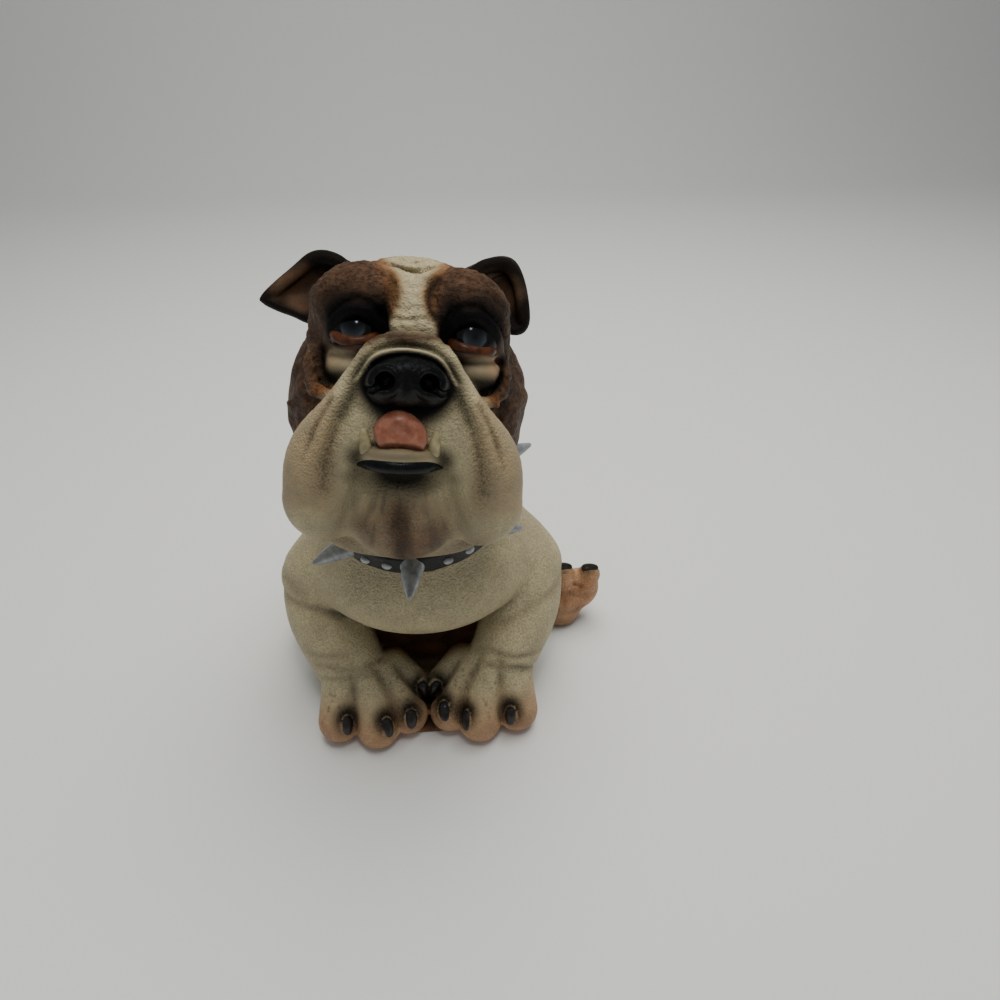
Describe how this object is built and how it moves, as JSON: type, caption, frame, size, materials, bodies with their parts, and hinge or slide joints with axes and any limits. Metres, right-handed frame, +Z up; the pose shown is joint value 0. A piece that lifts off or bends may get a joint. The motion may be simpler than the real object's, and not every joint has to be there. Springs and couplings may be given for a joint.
{
  "type": "bulldog figurine",
  "caption": "Seated bulldog figurine in painted cast resin, big head tilted up, tongue licking its nose, spiked black collar, resting on its flat underside.",
  "frame": {"origin": "on the plane the figurine rests on, at the middle of the width of its flat underside, below the neck", "axes": "+Z up through the crown of the head, -Y the way the dog faces, +X towards the dog's left side"},
  "size_m": [0.1584, 0.1595, 0.2003],
  "materials": {
    "painted_cast_resin": "matte, hand painted, with glossy eyes, nose and claws"
  },
  "bodies": {
    "root": {"bulldog": "painted_cast_resin"}
  },
  "joints": []
}
